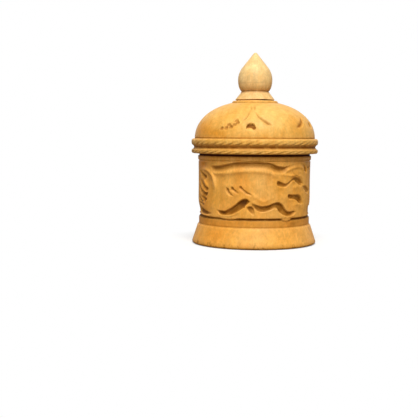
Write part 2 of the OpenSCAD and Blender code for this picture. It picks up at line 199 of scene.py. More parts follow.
EAR = [[[-42.5, 55.9, 0, 0.1], [-43, 65.1, 0.15, 0.2], [-44.5, 72.9, 0.2, 0.2], [-47, 78.2, 0.15, 0.2],
        [-52.5, 82.1, 0, 0.1]]]
# For each stroke: how far its two walls reach sideways for each millimetre of its depth, how much wider its
# floor is for it, and how brown the cut is drawn where it is a millimetre deep, as painted shade and a
# darker finish in the cut
FRIEZE = (
    [(cut, 0.5, 1.8, 0, 0.75) for cut in BACK]
    + [(cut, 0.5, 1.7, 0, 0.75) for cut in HEAD]
    + [(cut, 0.4, 1.2, 0, 0.7) for cut in SHOULDER]
    + [(cut, 0.45, 0.6, 0.5, 0.8) for cut in RUMP]
    + [(cut, 0.45, 0.6, 0.6, 0.85) for cut in LEGS + BELLY]
    + [(cut, 1.8, 5, 0, 0.1) for cut in EAR]
)

# Soft modelling of the body, left by the knife: raised ridges [degrees around, percent up, height in mm]
# with their half width, and shallow hollows, or bulges where the depth is negative: [degrees around,
# percent up, reach around, reach up, depth in mm]
RIDGES = [
    ([[-47, 78, 0], [-39, 78, 0.3], [-28, 79, 0.3], [-14, 82, 0.3], [0, 83, 0.3], [12, 81, 0.28],
      [19, 77, 0.2], [26, 73, 0]], 1),
    ([[-62, 85, 0], [-55, 83.5, 0.5], [-48, 79, 0.75], [-44, 71, 0.8], [-42.5, 62, 0.8], [-42.5, 50, 0]],
     0.9),
    ([[-66, 72, 0], [-60, 66, 0.4], [-56, 58, 0.4], [-54.5, 53, 0]], 0.8),
    ([[-66, 42, 0], [-61, 38, 0.4], [-56, 36.5, 0]], 0.6),
    ([[-64, 33, 0], [-59, 29.5, 0.4], [-54, 27, 0]], 0.6),
    ([[29, 79, 0], [33, 84, 0.35], [39, 87.5, 0.4], [47, 90, 0.4], [55, 88, 0.35], [58, 80, 0]], 0.9),
    ([[13, 78, 0], [10.5, 66, 0.14], [11.5, 50, 0.14], [17, 36, 0]], 0.5),
    ([[20, 72, 0], [17, 62, 0.1], [17.5, 50, 0.1], [21, 40, 0]], 0.5),
    ([[26, 10, 0], [30, 6, 0.15], [36, 4, 0.2], [42, 6, 0.15], [47, 12, 0]], 1.1),
    ([[-38, 9, 0], [-31, 5.5, 0.25], [-24, 5.5, 0.3], [-18, 9, 0.2], [-11, 20, 0]], 0.7),
    ([[24, 78, 0], [31, 77, 0.2], [38, 75, 0.3], [46, 75.5, 0.3], [53, 73, 0.2], [57, 66, 0]], 0.7),
    ([[36, 60, 0], [42, 54, 0.2], [48, 55, 0.2], [53, 50, 0]], 1),
    ([[40, 18, 0], [45, 24, 0.2], [51, 22, 0.25], [55, 16, 0]], 1),
    ([[-5, 48, 0], [3, 36, 0.2], [9, 31, 0.2], [16, 35, 0.15], [21, 38, 0]], 0.9),
]
HOLLOWS = [
    [-14, 68, 24, 10, 0.3], [16, 62, 8, 16, 0.2], [-33, 32, 12, 14, 0.25], [4, 46, 10, 10, 0.15],
    [31, 48, 8, 9, 0.2], [-36, 64, 5, 14, 0.2], [48, 88, 10, 6, 0.25], [-16, 4, 20, 6, 0.12],
    [12, 10, 9, 6, 0.15], [88, 60, 14, 60, 0.35], [92, 6, 22, 13, 1], [45, 82, 7, 5, -0.25],
    [44, 60, 8, 7, 0.2], [40, 28, 10, 8, 0.2], [-52, 62, 4, 12, 0.35], [-60, 92, 7, 6, 0.3],
    [24, 84, 7, 3, 0.2],
]
# The beast's feet step over the turned line: [from and to in degrees, height of the toes above the line's
# middle in mm, share of the line that they fill there]
FEET = [[26.5, 41, -0.7, 0.85], [-36, -15, 0.1, 0.95]]

# The dome's ornament, cut twice: [degrees around, percent up the dome, share of the common depth]. Strokes
# that are nowhere deeper than the faint ones have softer walls.
DOME_CUT = 0.7
PETALS = [
    [[0, 70.7, 0.1], [2.5, 62.5, 0.5], [5, 55.5, 0.6], [9.5, 47.1, 0.75], [13.5, 39.6, 0.7],
     [18.5, 34.1, 0]],
    [[-5.5, 71.8, 0.3], [-7, 61.6, 0.44], [-9.5, 51.5, 0.44], [-13.5, 43.6, 0]],
    [[58, 60, 0], [57.3, 51, 0.7], [54.3, 42.3, 0.9], [48.5, 34.5, 0.85], [42, 30, 0]],
    [[76, 41.7, 0], [73, 38.5, 1.1], [70.5, 35, 1.1], [68, 30, 0]],
    [[-61.5, 47, 0], [-62.3, 43, 0.3], [-63.2, 37, 0.3], [-64.5, 30.6, 0]],
    [[-6.5, 87.9, 0], [-4.7, 81, 0.44], [-4.6, 76, 0.4], [-5, 71.8, 0.1]],
    [[-0.5, 86.8, 0], [-0.1, 81, 0.44], [0.1, 76, 0.4], [0, 70.7, 0.1]],
]
DOME_WALLS = (1.4, 2.2)
FAINT = 0.45
FAINT_WALLS = (2, 3)

# Thumbnail cuts of a leaning round gouge in the dome: a row of notches and a moon
NOTCHES = [
    [-32.2, 25.8], [-27.4, 26.8], [-22.7, 29.3], [-19.5, 34.9], [-16.6, 40], [-25.4, 34.4],
    [-18.3, 45.1],
]
NOTCH_R = 0.9
NOTCH_LEAN = 28
# How brown the notches are drawn, as painted shade
NOTCH_SHADE = 0.6
MOON = [-3.5, 28.2]
MOON_R = 1.95
MOON_LEAN = 24
THUMB_SINK = 0.56
THUMB_WALL = 0.12

# Warmer patches of the wood, and paler ones where the warmth is negative: [degrees around, height, reach
# around, reach up, warmth]
POT_PATCHES = [
    [-64, 33.5, 8, 2, 0.9], [-58, 18, 9, 7, 0.5], [-38, 5, 16, 4, 0.7], [-8, 4.5, 20, 4, -0.35],
    [30, 5, 14, 4, 0.25], [8, 27, 10, 6, -0.35],
    [-12, 26, 9, 6, 0.4], [-26, 16, 9, 4, 0.35], [38, 20, 10, 5, 0.2], [20, 10.5, 12, 2, -0.2],
    [110, 5, 25, 4, 0.4], [150, 25, 20, 7, -0.3], [200, 22, 18, 7, 0.4], [250, 6, 20, 4, -0.3],
    [285, 26, 14, 7, 0.3], [80, 24, 15, 7, -0.2], [37, 23.4, 6, 3, -0.4], [8, 19.3, 6, 2, 0.4],
    [-42.5, 26.6, 2.4, 3, -0.35], [-26, 13, 8, 0.6, -0.6],
]
LID_PATCHES = [
    [-60, 48, 20, 4, 1], [-36, 46, 14, 2, 0.7], [44, 50, 9, 4, 0.45], [12, 52, 14, 4, -0.3],
    [-22, 57, 10, 2.5, 0.3], [25, 46, 14, 2, 0.25], [120, 50, 18, 4, 0.5], [165, 54, 20, 4, -0.3],
    [215, 48, 18, 4, 0.4], [260, 53, 16, 4, -0.2],
]
# Spots of stain in the pot's carving and on its band, and places where the painted shade in its cuts and
# turned line is stronger, or weaker where negative, written as the patches: how much browner the cuts are
# there
POT_STAINS_AND_SHADE = [
    [-32, 14.4, 4, 0.9, 0.14], [-10, 18.6, 5, 1.6, 0.12], [44, 9.9, 6, 0.8, 0.35],
    [-37, 11.9, 17, 0.9, -0.3],
]


def smooth_curve(points, steps=10):
    """A Catmull-Rom curve through given points."""
    p = np.array(points, float)
    last = len(p) - 1
    t = np.arange(steps)[:, None] / steps
    parts = []
    for i in range(last):
        a, b, c, d = p[max(i - 1, 0)], p[i], p[i + 1], p[min(i + 2, last)]
        parts.append(0.5 * (2 * b + (c - a) * t + (2 * a - 5 * b + 4 * c - d) * t**2
                            + (3 * b - a - 3 * c + d) * t**3))
    return np.vstack(parts + [p[-1:]])


def gouge_depth(x, y, path, left, right, nose=0.08):
    """How deep one cut goes at the points x, y, for a path of [x, y, depth, floor width], all in
    millimetres. Its left wall is the steeper one. Its flat floor and its other wall lie to the right."""
    depth = np.zeros_like(x)
    reach = path[:, 2].max() * max(left, right) + path[:, 3].max() + 0.3
    low = path[:, :2].min(0) - reach
    high = path[:, :2].max(0) + reach
    near = (x > low[0]) & (x < high[0]) & (y > low[1]) & (y < high[1])
    if not near.any():
        return depth
    px, py = x[near], y[near]
    best = np.full(px.shape, np.inf)
    side = np.zeros(px.shape)
    floor = np.zeros(px.shape)
    width = np.zeros(px.shape)
    for a, b in zip(path[:-1], path[1:]):
        run = b - a
        length = math.hypot(run[0], run[1])
        along = np.clip(((px - a[0]) * run[0] + (py - a[1]) * run[1]) / length**2, 0, 1)
        away = np.hypot(px - a[0] - run[0] * along, py - a[1] - run[1] * along)
        closer = away < best
        best = np.where(closer, away, best)
        turn = run[0] * (py - a[1]) - run[1] * (px - a[0])
        side = np.where(closer, np.sign(turn), side)
        floor = np.where(closer, a[2] + run[2] * along, floor)
        width = np.where(closer, a[3] + run[3] * along, width)
    out = np.where(side > 0, best, np.maximum(best - width, 0))
    fall = (np.sqrt(out**2 + nose**2) - nose) / np.where(side > 0, left, right)
    depth[near] = np.maximum(floor - fall, 0)
    return depth


def lines(corners, arc_rows=3):
    """An outline through corners (radius, height, rounding, rows up to the next corner)."""
    pts = np.array([c[:2] for c in corners], float)
    out = [pts[0]]
    for i in range(1, len(corners)):
        cut = corners[i][2]
        start = out[-1]
        back = pts[i - 1] - pts[i]
        end = pts[i] + back / np.linalg.norm(back) * cut if cut else pts[i]
        rows = corners[i - 1][3]
        out += [start + (end - start) * k / rows for k in range(1, rows + 1)]
        if cut and i < len(corners) - 1:
            ahead = pts[i + 1] - pts[i]
            finish = pts[i] + ahead / np.linalg.norm(ahead) * cut
            for k in range(1, arc_rows + 1):
                t = k / arc_rows
                out.append((1 - t) ** 2 * end + 2 * t * (1 - t) * pts[i] + t**2 * finish)
    return out


def ellipse(x, y, a, b, start, stop, rows):
    t = np.radians(np.linspace(start, stop, rows + 1))
    return [np.array([x + a * math.cos(v), y + b * math.sin(v)]) for v in t]


def dome_out(z):
    up = np.clip((np.asarray(z, float) - DOME_Z) / DOME_H, 0, 1)
    return DOME_R * (1 - up**DOME_POWER) ** (1 / DOME_POWER)


def outward(outline):
    """The direction that the turned surface faces at each point of its outline."""
    run = np.gradient(outline, axis=0)
    run /= np.linalg.norm(run, axis=1)[:, None] + 1e-12
    return np.stack([run[:, 1], -run[:, 0]], 1)


def stitch(low, low_count, high, high_count):
    """The faces between two rows of points. Where one row is finer, each step of the other meets a
    fan."""
    few, many = sorted((low_count, high_count))
    j, m = np.arange(few), np.arange(many)
    k, n = (j + 1) % few, (m + 1) % many
    if few == many:
        return [np.stack([low + j, low + k, high + k, high + j], -1)]
    ratio = many // few
    owner = (m // ratio + (m % ratio >= ratio // 2)) % few
    middle = j * ratio + ratio // 2
    if low_count == few:
        return [np.stack([low + j, low + k, high + middle], -1),
                np.stack([low + owner, high + n, high + m], -1)]
    return [np.stack([high + k, high + j, low + middle], -1),
            np.stack([low + m, low + n, high + owner], -1)]


def turned(name, rows, shape, tints):
    """A closed mesh turned from rows of [radius, height, points round] that start and end on the axis.

    shape gives how far each point is pushed out, in millimetres, and how brown its cuts are drawn there as
    painted shade. tints adds the painted shade of gaps, lines and corners, and how warm the wood is."""
    rows = np.array(rows, float)
    face = outward(rows[:, :2])[1:-1]
    inner = rows[1:-1]
    counts = inner[:, 2].astype(int)
    starts = np.concatenate([[0], np.cumsum(counts)])
    total = starts[-1]
    vertices = np.zeros((total + 2, 3))
    vertices[total:, 2] = rows[0, 1], rows[-1, 1]
    shades = np.zeros((2, total + 2))
    edges = [0] + [i for i in range(1, len(counts)) if counts[i] != counts[i - 1]] + [len(counts)]
    for first, last in zip(edges[:-1], edges[1:]):
        angles = np.linspace(0, 2 * math.pi, counts[first], endpoint=False)
        outline = inner[first:last, :2]
        push, dark = shape(angles, outline)
        r = outline[:, :1] + face[first:last, :1] * push
        z = outline[:, 1:] + face[first:last, 1:] * push
        here = slice(starts[first], starts[last])
        vertices[here] = np.stack([r * np.sin(angles), -r * np.cos(angles), z], -1).reshape(-1, 3)
        dark, warm = tints(angles, outline, dark)
        shades[:, here] = dark.ravel(), warm.ravel()
    faces = []
    for i in range(len(counts) - 1):
        faces += stitch(starts[i], counts[i], starts[i + 1], counts[i + 1])
    j, m = np.arange(counts[0]), np.arange(counts[-1])
    faces.append(np.stack([np.full_like(j, total), (j + 1) % counts[0], j], -1))
    top = starts[-2]
    faces.append(np.stack([np.full_like(m, total + 1), top + m, top + (m + 1) % counts[-1]], -1))
    loops = np.concatenate([f.ravel() for f in faces])
    sizes = np.concatenate([np.full(len(f), f.shape[1]) for f in faces])
    mesh = bpy.data.meshes.new(name)
    mesh.vertices.add(len(vertices))
    mesh.vertices.foreach_set("co", (vertices * MM).ravel())
    mesh.loops.add(len(loops))
    mesh.loops.foreach_set("vertex_index", loops)
    mesh.polygons.add(len(sizes))
    mesh.polygons.foreach_set("loop_start", np.concatenate([[0], np.cumsum(sizes)[:-1]]))
    mesh.polygons.foreach_set("loop_total", sizes)
    mesh.update(calc_edges=True)
    mesh.polygons.foreach_set("use_smooth", np.ones(len(sizes), bool))
    for layer, values in zip(("crevice_shade", "warmth"), shades):
        mesh.attributes.new(layer, "FLOAT", "POINT").data.foreach_set("value", values)
    piece = bpy.data.objects.new(name, mesh)
    bpy.context.scene.collection.objects.link(piece)
    return piece


def soft_step(x, start, stop):
    t = np.clip((x - start) / (stop - start), 0, 1)
    return t * t * (3 - 2 * t)


def warm_patches(angles, heights, patches):
    """How much warmer, or paler where it is negative, the wood is at every angle and height."""
    warm = np.zeros((len(heights), len(angles)))
    for around, up, wide, tall, strength in patches:
        turn = (np.degrees(angles) - around + 180) % 360 - 180
        warm += strength * np.exp(-(turn[None, :] / wide) ** 2 - ((heights[:, None] - up) / tall) ** 2)
    return warm


def frieze_z(percent):
    """The height of a place so many percent up the frieze."""
    return FRIEZE_LOW + (FRIEZE_TOP - FRIEZE_LOW) * percent / 100


def on_barrel(path):
    """A smooth path on the unrolled barrel, in millimetres, through given points."""
    path = smooth_curve(path)
    path[:, 0] = np.radians(path[:, 0]) * BARREL_R
    path[:, 1] = frieze_z(path[:, 1])
    return path


def ridge_height(x, y, path, half):
    """How high one soft ridge stands at the points x, y."""
    height = np.zeros_like(x)
    for a, b in zip(path[:-1], path[1:]):
        run = b - a
        length = math.hypot(run[0], run[1])
        along = np.clip(((x - a[0]) * run[0] + (y - a[1]) * run[1]) / length**2, 0, 1)
        away = np.hypot(x - a[0] - run[0] * along, y - a[1] - run[1] * along) / half
        height = np.maximum(height, (a[2] + run[2] * along) * np.exp(-away**2 * 1.5))
    return height


def frieze_relief(angles, heights):
    """How far the soft modelling lies above or below the barrel at every angle and height, how deep the
    cuts are there and how brown they are drawn, as painted shade and a darker finish: one beast for each
    half turn."""
    half = math.pi * BARREL_R
    start = np.radians(FRIEZE_START) * BARREL_R
    around = (angles * BARREL_R - start) % half + start
    x, y = np.meshgrid(around, heights)
    depth = np.zeros_like(x)
    dark = np.zeros_like(x)
    for cut, left, right, spread, brown in FRIEZE:
        path = on_barrel(cut)
        path[:, 2] = np.maximum(path[:, 2], 0) * FRIEZE_CUT
        path[:, 3] = np.maximum(path[:, 3], 0.1) + spread * path[:, 2]
        for shift in (-half, 0, half):
            one = gouge_depth(x, y, path + [shift, 0, 0, 0], left, right)
            if not one.any():
                continue
            # Painted shade, partly a darker finish: the cut is drawn browner the deeper it goes
            dark = np.maximum(dark, brown * np.minimum(one, 1) ** 0.8)
            depth = np.maximum(depth, one)
    soft = np.zeros_like(x)
    for ridge, width in RIDGES:
        soft = np.maximum(soft, ridge_height(x, y, on_barrel(ridge), width))
    # The ridges fade out before they reach the turned lines
    soft *= soft_step(y, LINE_Z + LINE_W, LINE_Z + 1.5)
    soft *= soft_step(-y, 0.3 - FRIEZE_TOP, 0.9 - FRIEZE_TOP)
    for middle, up, wide, tall, deep in HOLLOWS:
        turn = x / BARREL_R - np.radians(middle)
        turn = ((turn + math.pi / 2) % math.pi - math.pi / 2) / np.radians(wide)
        rise = (y - frieze_z(up)) / (frieze_z(tall) - FRIEZE_LOW)
        soft -= deep * np.exp(-turn**2 - rise**2)
    return soft, depth, dark


def thumb_depth(points, centre, radius, lean):
    """How deep a leaning round gouge cuts at points of the dome, measured square to its surface there."""
    a = math.radians(centre[0])
    out = dome_out(centre[1])
    slope = (dome_out(centre[1] + 0.05) - dome_out(centre[1] - 0.05)) / 0.1
    n = np.array([1, -slope]) / math.hypot(1, slope)
    tilt = math.atan2(n[0], n[1]) - math.radians(lean)
    axis = np.array([math.sin(tilt) * math.sin(a), -math.sin(tilt) * math.cos(a), math.cos(tilt)])
    normal = np.array([n[0] * math.sin(a), -n[0] * math.cos(a), n[1]])
    middle = np.array([out * math.sin(a), -out * math.cos(a), centre[1]])
    here = points - middle + normal * THUMB_SINK * radius * math.sin(math.radians(lean))
    high = here @ axis
    off = np.linalg.norm(here - high[..., None] * axis, axis=-1)
    wall = np.clip((radius - off) / THUMB_WALL, 0, 1)
    near = here @ normal > -3
    return np.where((high > 0) & near, high * wall, 0) / (axis @ normal)


def dome_curve(steps=600):
    """Radius, height and length along the dome's outline, from its widest circle to its axis."""
    z = DOME_Z + DOME_H * np.sin(np.linspace(0, math.pi / 2, steps))
    r = dome_out(z)
    return r, z, np.concatenate([[0], np.cumsum(np.hypot(np.diff(r), np.diff(z)))])


def dome_rows(start, stop, gap):
    """Points of the dome's outline between two heights, so far apart along it."""
    r, z, along = dome_curve()
    low, high = np.interp((start, stop), z, along)
    at = np.linspace(low, high, round((high - low) / gap) + 1)
    return [[np.interp(v, along, r), np.interp(v, along, z)] for v in at]


def dome_depth(angles, outline):
    """The depth of the dome's ornament, cut once on each half, and how brown it is drawn, as painted shade.
    """
    degrees = (np.degrees(angles) + 90) % 180 - 90
    r, z = outline[:, 0], outline[:, 1]
    depth = np.zeros((len(z), len(angles)))
    curve_z, along = dome_curve()[1:]
    climb = np.interp(z, curve_z, along)
    for cut in PETALS:
        path = smooth_curve(cut)
        level = DOME_Z + DOME_H * path[:, 1] / 100
        middle = dome_out(level).mean()
        flat = np.stack([np.radians(path[:, 0]) * middle, np.interp(level, curve_z, along),
                         np.maximum(path[:, 2], 0) * DOME_CUT, np.zeros(len(path))], 1)
        x, y = np.meshgrid(np.radians(degrees) * middle, climb)
        walls = FAINT_WALLS if path[:, 2].max() < FAINT else DOME_WALLS
        depth = np.maximum(depth, gouge_depth(x, y, flat, *walls))
    # Painted shade: the ornament's cuts are drawn browner the deeper they go
    dark = np.clip(depth / DOME_CUT, 0, 1) * 0.85
    a = np.radians(degrees)
    heights = np.broadcast_to(z[:, None], depth.shape)
    points = np.stack([r[:, None] * np.sin(a), -r[:, None] * np.cos(a), heights], -1)
    thumbs = [(spot, NOTCH_R, NOTCH_LEAN, False) for spot in NOTCHES] + [(MOON, MOON_R, MOON_LEAN, True)]
    for (around, up), radius, lean, crescent in thumbs:
        level = DOME_Z + DOME_H * up / 100
        one = thumb_depth(points, (around, level), radius, lean)
        if one.any():
            # Painted shade: the moon is drawn brown in a crescent along its upper wall; the lower left of
            # its floor lies in the light and stays pale. The notches are drawn evenly brown.
            x = (np.radians(degrees - around) * dome_out(level))[None, :] + 0.3 * radius
            y = (climb - np.interp(level, curve_z, along))[:, None] + 0.55 * radius
            shade = soft_step(np.hypot(x, y), 0.55 * radius, 0.95 * radius) if crescent else NOTCH_SHADE
            dark = np.maximum(dark, shade * np.clip(4 * one / one.max(), 0, 0.9))
            depth = np.maximum(depth, one)
    return depth, dark


def strand_depth(angles, outline, rope_z, half, crown_r, strands, rng):
    """The cuts between the strands of one rope, each a little different, as cut by hand."""
    up = (outline[:, 1] - rope_z) / half
    round_angle = np.degrees(np.arcsin(np.clip(up, -1, 1)))
    lean = STRAND_RUN / crown_r
    top = math.sin(math.radians(STRAND_SPAN))
    turn = angles[None, :] - lean * (up / (2 * top))[:, None]
    phase = turn * strands / (2 * math.pi)
    number = np.floor(phase).astype(int) % strands
    offset = rng.uniform(-STRAND_SHIFT, STRAND_SHIFT, strands)
    weight = rng.uniform(*STRAND_DEPTHS, strands)
    place = phase - np.floor(phase)
    place = np.clip(place + offset[number] * np.sin(np.pi * place), 0, 1)
    left = weight[number]
    right = weight[(number + 1) % strands]
    strength = left * (1 - place) + right * place
    groove = 1 - np.sqrt(np.clip(1 - (2 * place - 1) ** 2, 0, 1))
    lower = 1 - 0.8 * np.sin(np.radians(round_angle))
    return STRAND_CUT * strength * groove * (lower * np.cos(np.radians(round_angle)))[:, None]


def rows_of(points, columns):
    return [[p[0], p[1], columns] for p in points]


def pot_rows():
    low = lines([
        (0, 0, 0, 4), (FOOT_R - FOOT_EDGE, 0, 0.5, 1), (FOOT_R - FOOT_EDGE / 4, FOOT_EDGE / 3, 0.25, 1),
        (FOOT_R, FOOT_EDGE, 0.25, 6), (BARREL_R + 0.1, FOOT_H - FOOT_STEP, 0.15, 1),
        (BAND_R, FOOT_H, 0.12, 2), (BAND_R, LINE_Z - LINE_W - 1, 0, 1),
    ])
    carved = lines([
        (BAND_R, LINE_Z - LINE_W - 0.9, 0, 3), (BAND_R, LINE_Z - LINE_W, 0.1, 1),
        (BARREL_R - LINE_D, LINE_Z, 0.15, 2), (BARREL_R, LINE_Z + LINE_W, 0.3, FRIEZE_ROWS),
        (BARREL_R, FRIEZE_TOP - RAIL_W, 0.15, 1), (BARREL_R - RAIL_D, FRIEZE_TOP, 0.15, 1),
        (BARREL_R, FRIEZE_TOP + RAIL_W, 0, 1),
    ])
    high = lines([
        (BARREL_R, FRIEZE_TOP + RAIL_W + 0.1, 0, 2), (BARREL_R, SHOULDER_Z, 0.15, 5),
        (SPIGOT_R, SHOULDER_Z, 0.05, 1), (SPIGOT_R, SPIGOT_TOP, SPIGOT_EDGE, 1),
        (CAVITY_R, SPIGOT_TOP, SPIGOT_EDGE, 3), (CAVITY_R, FLOOR_T, CAVITY_FILLET, 3),
        (0, FLOOR_T, 0, 1),
    ])
    return rows_of(low, POT_COLUMNS) + rows_of(carved, FINER * POT_COLUMNS) + rows_of(high, POT_COLUMNS)


def feet(angles, heights):
    """How much the beast's feet fill the turned line where they step over it."""
    degrees = (np.degrees(angles) + 90) % 180 - 90
    fill = np.zeros((len(heights), len(angles)))
    for start, stop, toes, share in FEET:
        across = soft_step(degrees, start - 1, start + 4) * soft_step(-degrees, -stop - 1, 4 - stop)
        curve = np.clip(1 - ((degrees - (start + stop) / 2) / ((stop - start) / 2 + 1)) ** 2, 0, 1)
        down = LINE_Z + LINE_W - (LINE_W - toes) * curve
        fill = np.maximum(fill, share * across * soft_step(heights[:, None], down - 0.25, down + 0.25))
    return fill


def untouched(angles, outline):
    """Neither pushed out nor brown anywhere."""
    return np.zeros((2, len(outline), len(angles)))


def pot_shape(angles, outline):
    """The frieze is cut into the barrel between the two turned lines, and the feet fill the lower one."""
    push, dark = untouched(angles, outline)
    r, z = outline[:, 0], outline[:, 1]
    if len(angles) == POT_COLUMNS:
        return push, dark
    carved = (z > LINE_Z) & (z < FRIEZE_TOP)
    soft, depth, dark[carved] = frieze_relief(angles, z[carved])
    already = BARREL_R - r[carved, None]
    push[carved] = np.where(depth > already, already - depth, 0) + soft
    fill = (BARREL_R - r)[:, None] * feet(angles, z) * (z < FRIEZE_LOW + 2)[:, None]
    return push + fill, dark


def corner(z, at, reach, strength):
    """A soft brown line at one height, used for painted shade in creases and for a growth line."""
    return strength * np.clip(1 - np.abs(z - at) / reach, 0, 1)


def pot_tints(angles, outline, dark):
    """Painted shade in the turned lines, at the band's corners and in the joint's gap, spots of stain, and
    a warm band.
    """
    r, z = outline[:, 0], outline[:, 1]
    out = r > BAND_R - 1
    # Painted shade in the turned line's groove, left out where the feet fill it
    line = np.clip(1.8 - 1.8 * np.abs(z - LINE_Z) / (LINE_W + 0.1), 0, 0.9) * out
    dark = np.maximum(dark, line[:, None] * (1 - feet(angles, z)))
    band = (z > FOOT_H) & (z < LINE_Z - LINE_W)
    # Painted shade in the rail's groove and at the foot's step, and a browner band
    marks = corner(z, FRIEZE_TOP, 0.4, 0.3) + corner(z, FOOT_H, 0.7, 0.4) + 0.15 * band
    dark = np.maximum(dark, (marks * out)[:, None])
    dark = np.maximum(dark + warm_patches(angles, z, POT_STAINS_AND_SHADE) * out[:, None], 0)
    # Painted shade in the gap under the lid's ropes, on the outer ring of the shoulder
    joint = 0.82 * soft_step(z, SHOULDER_Z - 0.4, SHOULDER_Z) * soft_step(r, CONTACT_R - 0.9, CONTACT_R)
    return np.maximum(dark, joint[:, None]), warm_patches(angles, z, POT_PATCHES) + 0.5 * band[:, None]


def bead(z, crown_r, half, start, stop, rows):
    """The outline of one rope, a little fuller than an ellipse."""
    t = np.radians(np.linspace(start, stop, rows + 1))
    out = (crown_r - ROPE_CORE_R) * np.cos(t) ** (2 / ROPE_FULLNESS)
    up = half * np.sign(t) * np.abs(np.sin(t)) ** (2 / ROPE_FULLNESS)
    return [np.array([ROPE_CORE_R + a, z + b]) for a, b in zip(out, up)]


def lid_rows():
    hollow = ellipse(0, SOCKET_TOP, HOLLOW_R, HOLLOW_H, 90, 0, 12)
    rim = lines([
        (HOLLOW_R, SOCKET_TOP, 0, 1), (SOCKET_R, SOCKET_TOP, 0.1, 1), (SOCKET_R, SHOULDER_Z, 0.1, 1),
        (CONTACT_R, SHOULDER_Z, 0.1, 1), (CONTACT_R, RIM_Z, 0.05, 5), (ROPE_CORE_R, RIM_Z, 0, 1),
    ], 2)[1:-1]
    rope_rows = 14
    lower = bead(LOWER_ROPE_Z, LOWER_ROPE_R, LOWER_ROPE_HALF, -88, 66, rope_rows)
    upper = bead(UPPER_ROPE_Z, UPPER_ROPE_R, UPPER_ROPE_HALF, -66, 80, rope_rows)
    groove = [[GROOVE_R, (lower[-1][1] + upper[0][1]) / 2]]
    top = STEP_Z - STEP_H
    foot = [[ROPE_CORE_R, DOME_FOOT_Z - 0.15]]
    below = dome_rows(DOME_FOOT_Z, DOME_Z + 0.13 * DOME_H, 0.5)
    cut = dome_rows(DOME_Z + 0.14 * DOME_H, DOME_Z + 0.77 * DOME_H, 0.28)
    above = dome_rows(DOME_Z + 0.775 * DOME_H, top, 0.3)
    step = lines([
        (above[-1][0], top, 0, 1), (STEP_R, top, 0.1, 1), (STEP_R, STEP_Z - STEP_EDGE, 0.15, 1),
        (STEP_R - STEP_EDGE, STEP_Z, 0.15, 1), (0, STEP_Z, 0, 1),
    ])[1:]
    carved = lower + groove + upper + foot + below + cut
    return (rows_of(hollow + rim, LID_COLUMNS) + rows_of(carved, FINER * LID_COLUMNS)
            + rows_of(above, FINER // 2 * LID_COLUMNS) + rows_of(step, LID_COLUMNS))


def lid_shape(angles, outline):
    """The strands are cut into the two ropes, and the ornament into the dome."""
    rng = np.random.default_rng(STRAND_SEED)
    push, dark = untouched(angles, outline)
    if len(angles) == LID_COLUMNS:
        return push, dark
    r, z = outline[:, 0], outline[:, 1]
    for rope_z, high, crown_r, strands in (
        (LOWER_ROPE_Z, LOWER_ROPE_HALF, LOWER_ROPE_R, LOWER_STRANDS),
        (UPPER_ROPE_Z, UPPER_ROPE_HALF, UPPER_ROPE_R, UPPER_STRANDS),
    ):
        on = (r > ROPE_CORE_R) & (np.abs(z - rope_z) < high)
        if on.any():
            push[on] = -strand_depth(angles, outline[on], rope_z, high, crown_r, strands, rng)
            # Painted shade: the cuts between the strands are drawn browner the deeper they go
            dark[on] = np.clip(-push[on] / STRAND_CUT, 0, 1.2) * 0.45
    on = z > DOME_FOOT_Z
    depth, dark[on] = dome_depth(angles, outline[on])
    push[on] = -depth
    return push, dark


def lid_tints(angles, outline, dark):
    """Painted shade between the ropes and on the lower one, round the dome's foot and step, and in the
    joint's gap.
    """
    r, z = outline[:, 0], outline[:, 1]
    # Painted shade between the ropes, on the lower rope under the upper one, round the dome's foot and at
    # the step
    between = np.minimum(corner(z, (LOWER_ROPE_Z + UPPER_ROPE_Z) / 2 - 0.16, 0.88, 2.1), 0.9)
    marks = between + corner(z, LOWER_ROPE_Z + 0.5, 0.8, 0.38) + corner(z, DOME_FOOT_Z - 0.1, 0.45, 0.45)
    marks += corner(z, DOME_FOOT_Z + 0.6, 1.4, 0.12) + corner(z, STEP_Z - STEP_H, 0.3, 0.5)
    dark = np.maximum(dark, (marks * (r > NECK_R))[:, None])
    # Painted shade in the gap under the ropes, on the lid's contact ring and the underside next to it
    joint = soft_step(-r, -CONTACT_R - 1.2, -CONTACT_R - 0.3)
    joint *= (r > CONTACT_R - 0.15) & (z < RIM_Z + 0.15)
    dark = np.maximum(dark, joint[:, None])
    return dark, warm_patches(angles, z, LID_PATCHES)


def knob_rows():
    tenon = lines([
        (0, STEP_Z - TENON_L, 0, 1), (TENON_R, STEP_Z - TENON_L, 0.3, 1), (TENON_R, STEP_Z, 0, 1),
        (COLLAR_R - 0.6, STEP_Z, 0.1, 1), (COLLAR_R - 0.6, STEP_Z + COLLAR_GAP, 0.1, 1),
        (COLLAR_R - 0.2, STEP_Z + COLLAR_GAP, 0.1, 14), (NECK_R, STEP_Z + NECK_Z, 0.15, 1),
    ])[:-1]
    middle = STEP_Z + BUD_Z
    side = ellipse(BUD_R - BUD_SIDE, middle, BUD_SIDE, BUD_Z - NECK_Z, BUD_START, 0, 24)
    shoulder = ellipse(BUD_R - BUD_SHOULDER, middle, BUD_SHOULDER, BUD_SHOULDER, 0, TIP_SLOPE, 16)[1:]
    tip = ellipse(0, KNOB_TOP - TIP_R, TIP_R, TIP_R, TIP_SLOPE, 90, 8)
    cone = [shoulder[-1] + (tip[0] - shoulder[-1]) * k / 12 for k in range(1, 12)]
    return rows_of(tenon + side + shoulder + cone + tip, KNOB_COLUMNS)


